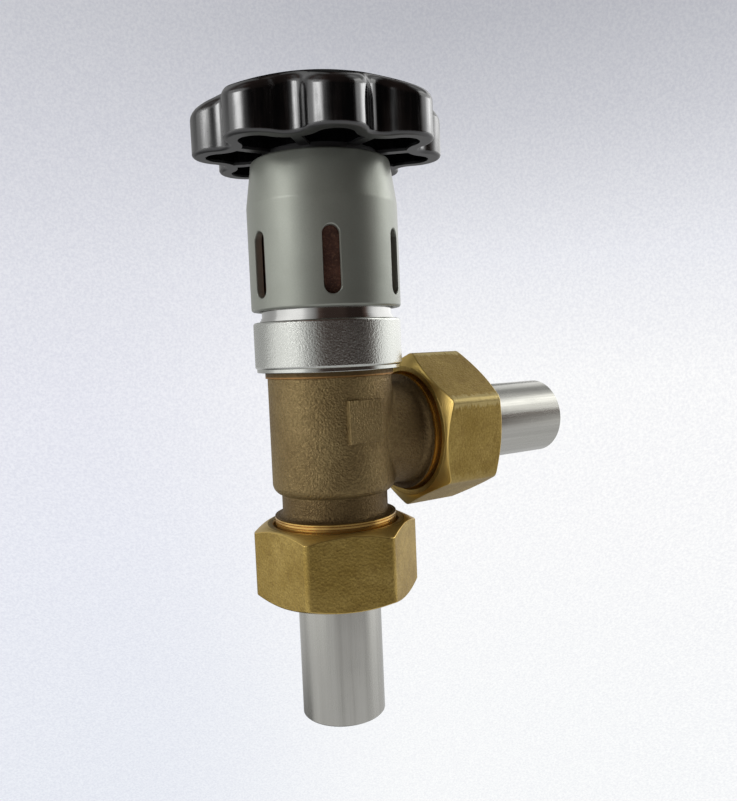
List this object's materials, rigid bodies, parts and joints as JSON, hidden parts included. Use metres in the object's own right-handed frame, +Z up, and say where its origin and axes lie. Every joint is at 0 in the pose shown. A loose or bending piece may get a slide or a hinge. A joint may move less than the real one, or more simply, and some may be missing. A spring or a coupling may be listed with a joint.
{
  "type": "radiator valve",
  "caption": "Angle-pattern valve with a lobed black handwheel, slotted grey skirt, cast bronze body, brass union nuts and steel tube tails.",
  "frame": {"origin": "centre of the inlet tube's open end face, on the spindle axis", "axes": "+Z up along the spindle towards the handwheel, +X along the outlet away from the body"},
  "size_m": [0.1025, 0.059, 0.1584],
  "materials": {
    "bronze": "sand cast",
    "nut_brass": "satin",
    "tail_steel": "satin",
    "nickel": "grained",
    "collar_chrome": "polished",
    "wheel_black": "gloss",
    "skirt_grey": "satin",
    "spindle_steel": "satin",
    "trim_brass": "machined",
    "seal_rubber": "matte",
    "seal_white": "matte",
    "gasket_green": "matte"
  },
  "bodies": {
    "valve": {"valve_body": "bronze", "seat_ring": "spindle_steel", "bonnet": "trim_brass", "bonnet_o_ring": "seal_rubber", "lower_stem_o_ring": "seal_rubber", "upper_stem_o_ring": "seal_rubber", "stem_packing": "seal_white", "gland_follower": "trim_brass", "gland_nut": "trim_brass", "coupling_ring": "nickel", "neck_collar": "collar_chrome", "scale_tube": "nickel", "scale_tube_clip": "spindle_steel", "inlet_union_nut": "nut_brass", "outlet_union_nut": "nut_brass", "inlet_gasket": "gasket_green", "outlet_gasket": "gasket_green", "inlet_tail": "tail_steel", "outlet_tail": "tail_steel"},
    "plug": {"plug": "trim_brass", "plug_seal": "seal_white", "plug_washer": "spindle_steel", "plug_screw": "spindle_steel", "swivel_clip": "spindle_steel"},
    "spindle": {"spindle": "spindle_steel", "skirt": "skirt_grey", "handwheel": "wheel_black", "hub_insert": "trim_brass", "wheel_screw": "spindle_steel", "wheel_washer": "spindle_steel", "wheel_cap": "wheel_black"}
  },
  "joints": [
    {"name": "plug_lift", "type": "slide", "parent": "valve", "child": "plug", "axis": [0, 0, 1], "range_m": [0, 0.005]},
    {"name": "handwheel_turn", "type": "hinge", "parent": "plug", "child": "spindle", "pos_m": [0, 0, 0.071], "axis": [0, 0, 1], "range_deg": [0, 890]}
  ],
  "couplings": [
    {"joint": "plug_lift", "follows": "handwheel_turn", "m_per_rad": 0.00031831}
  ]
}
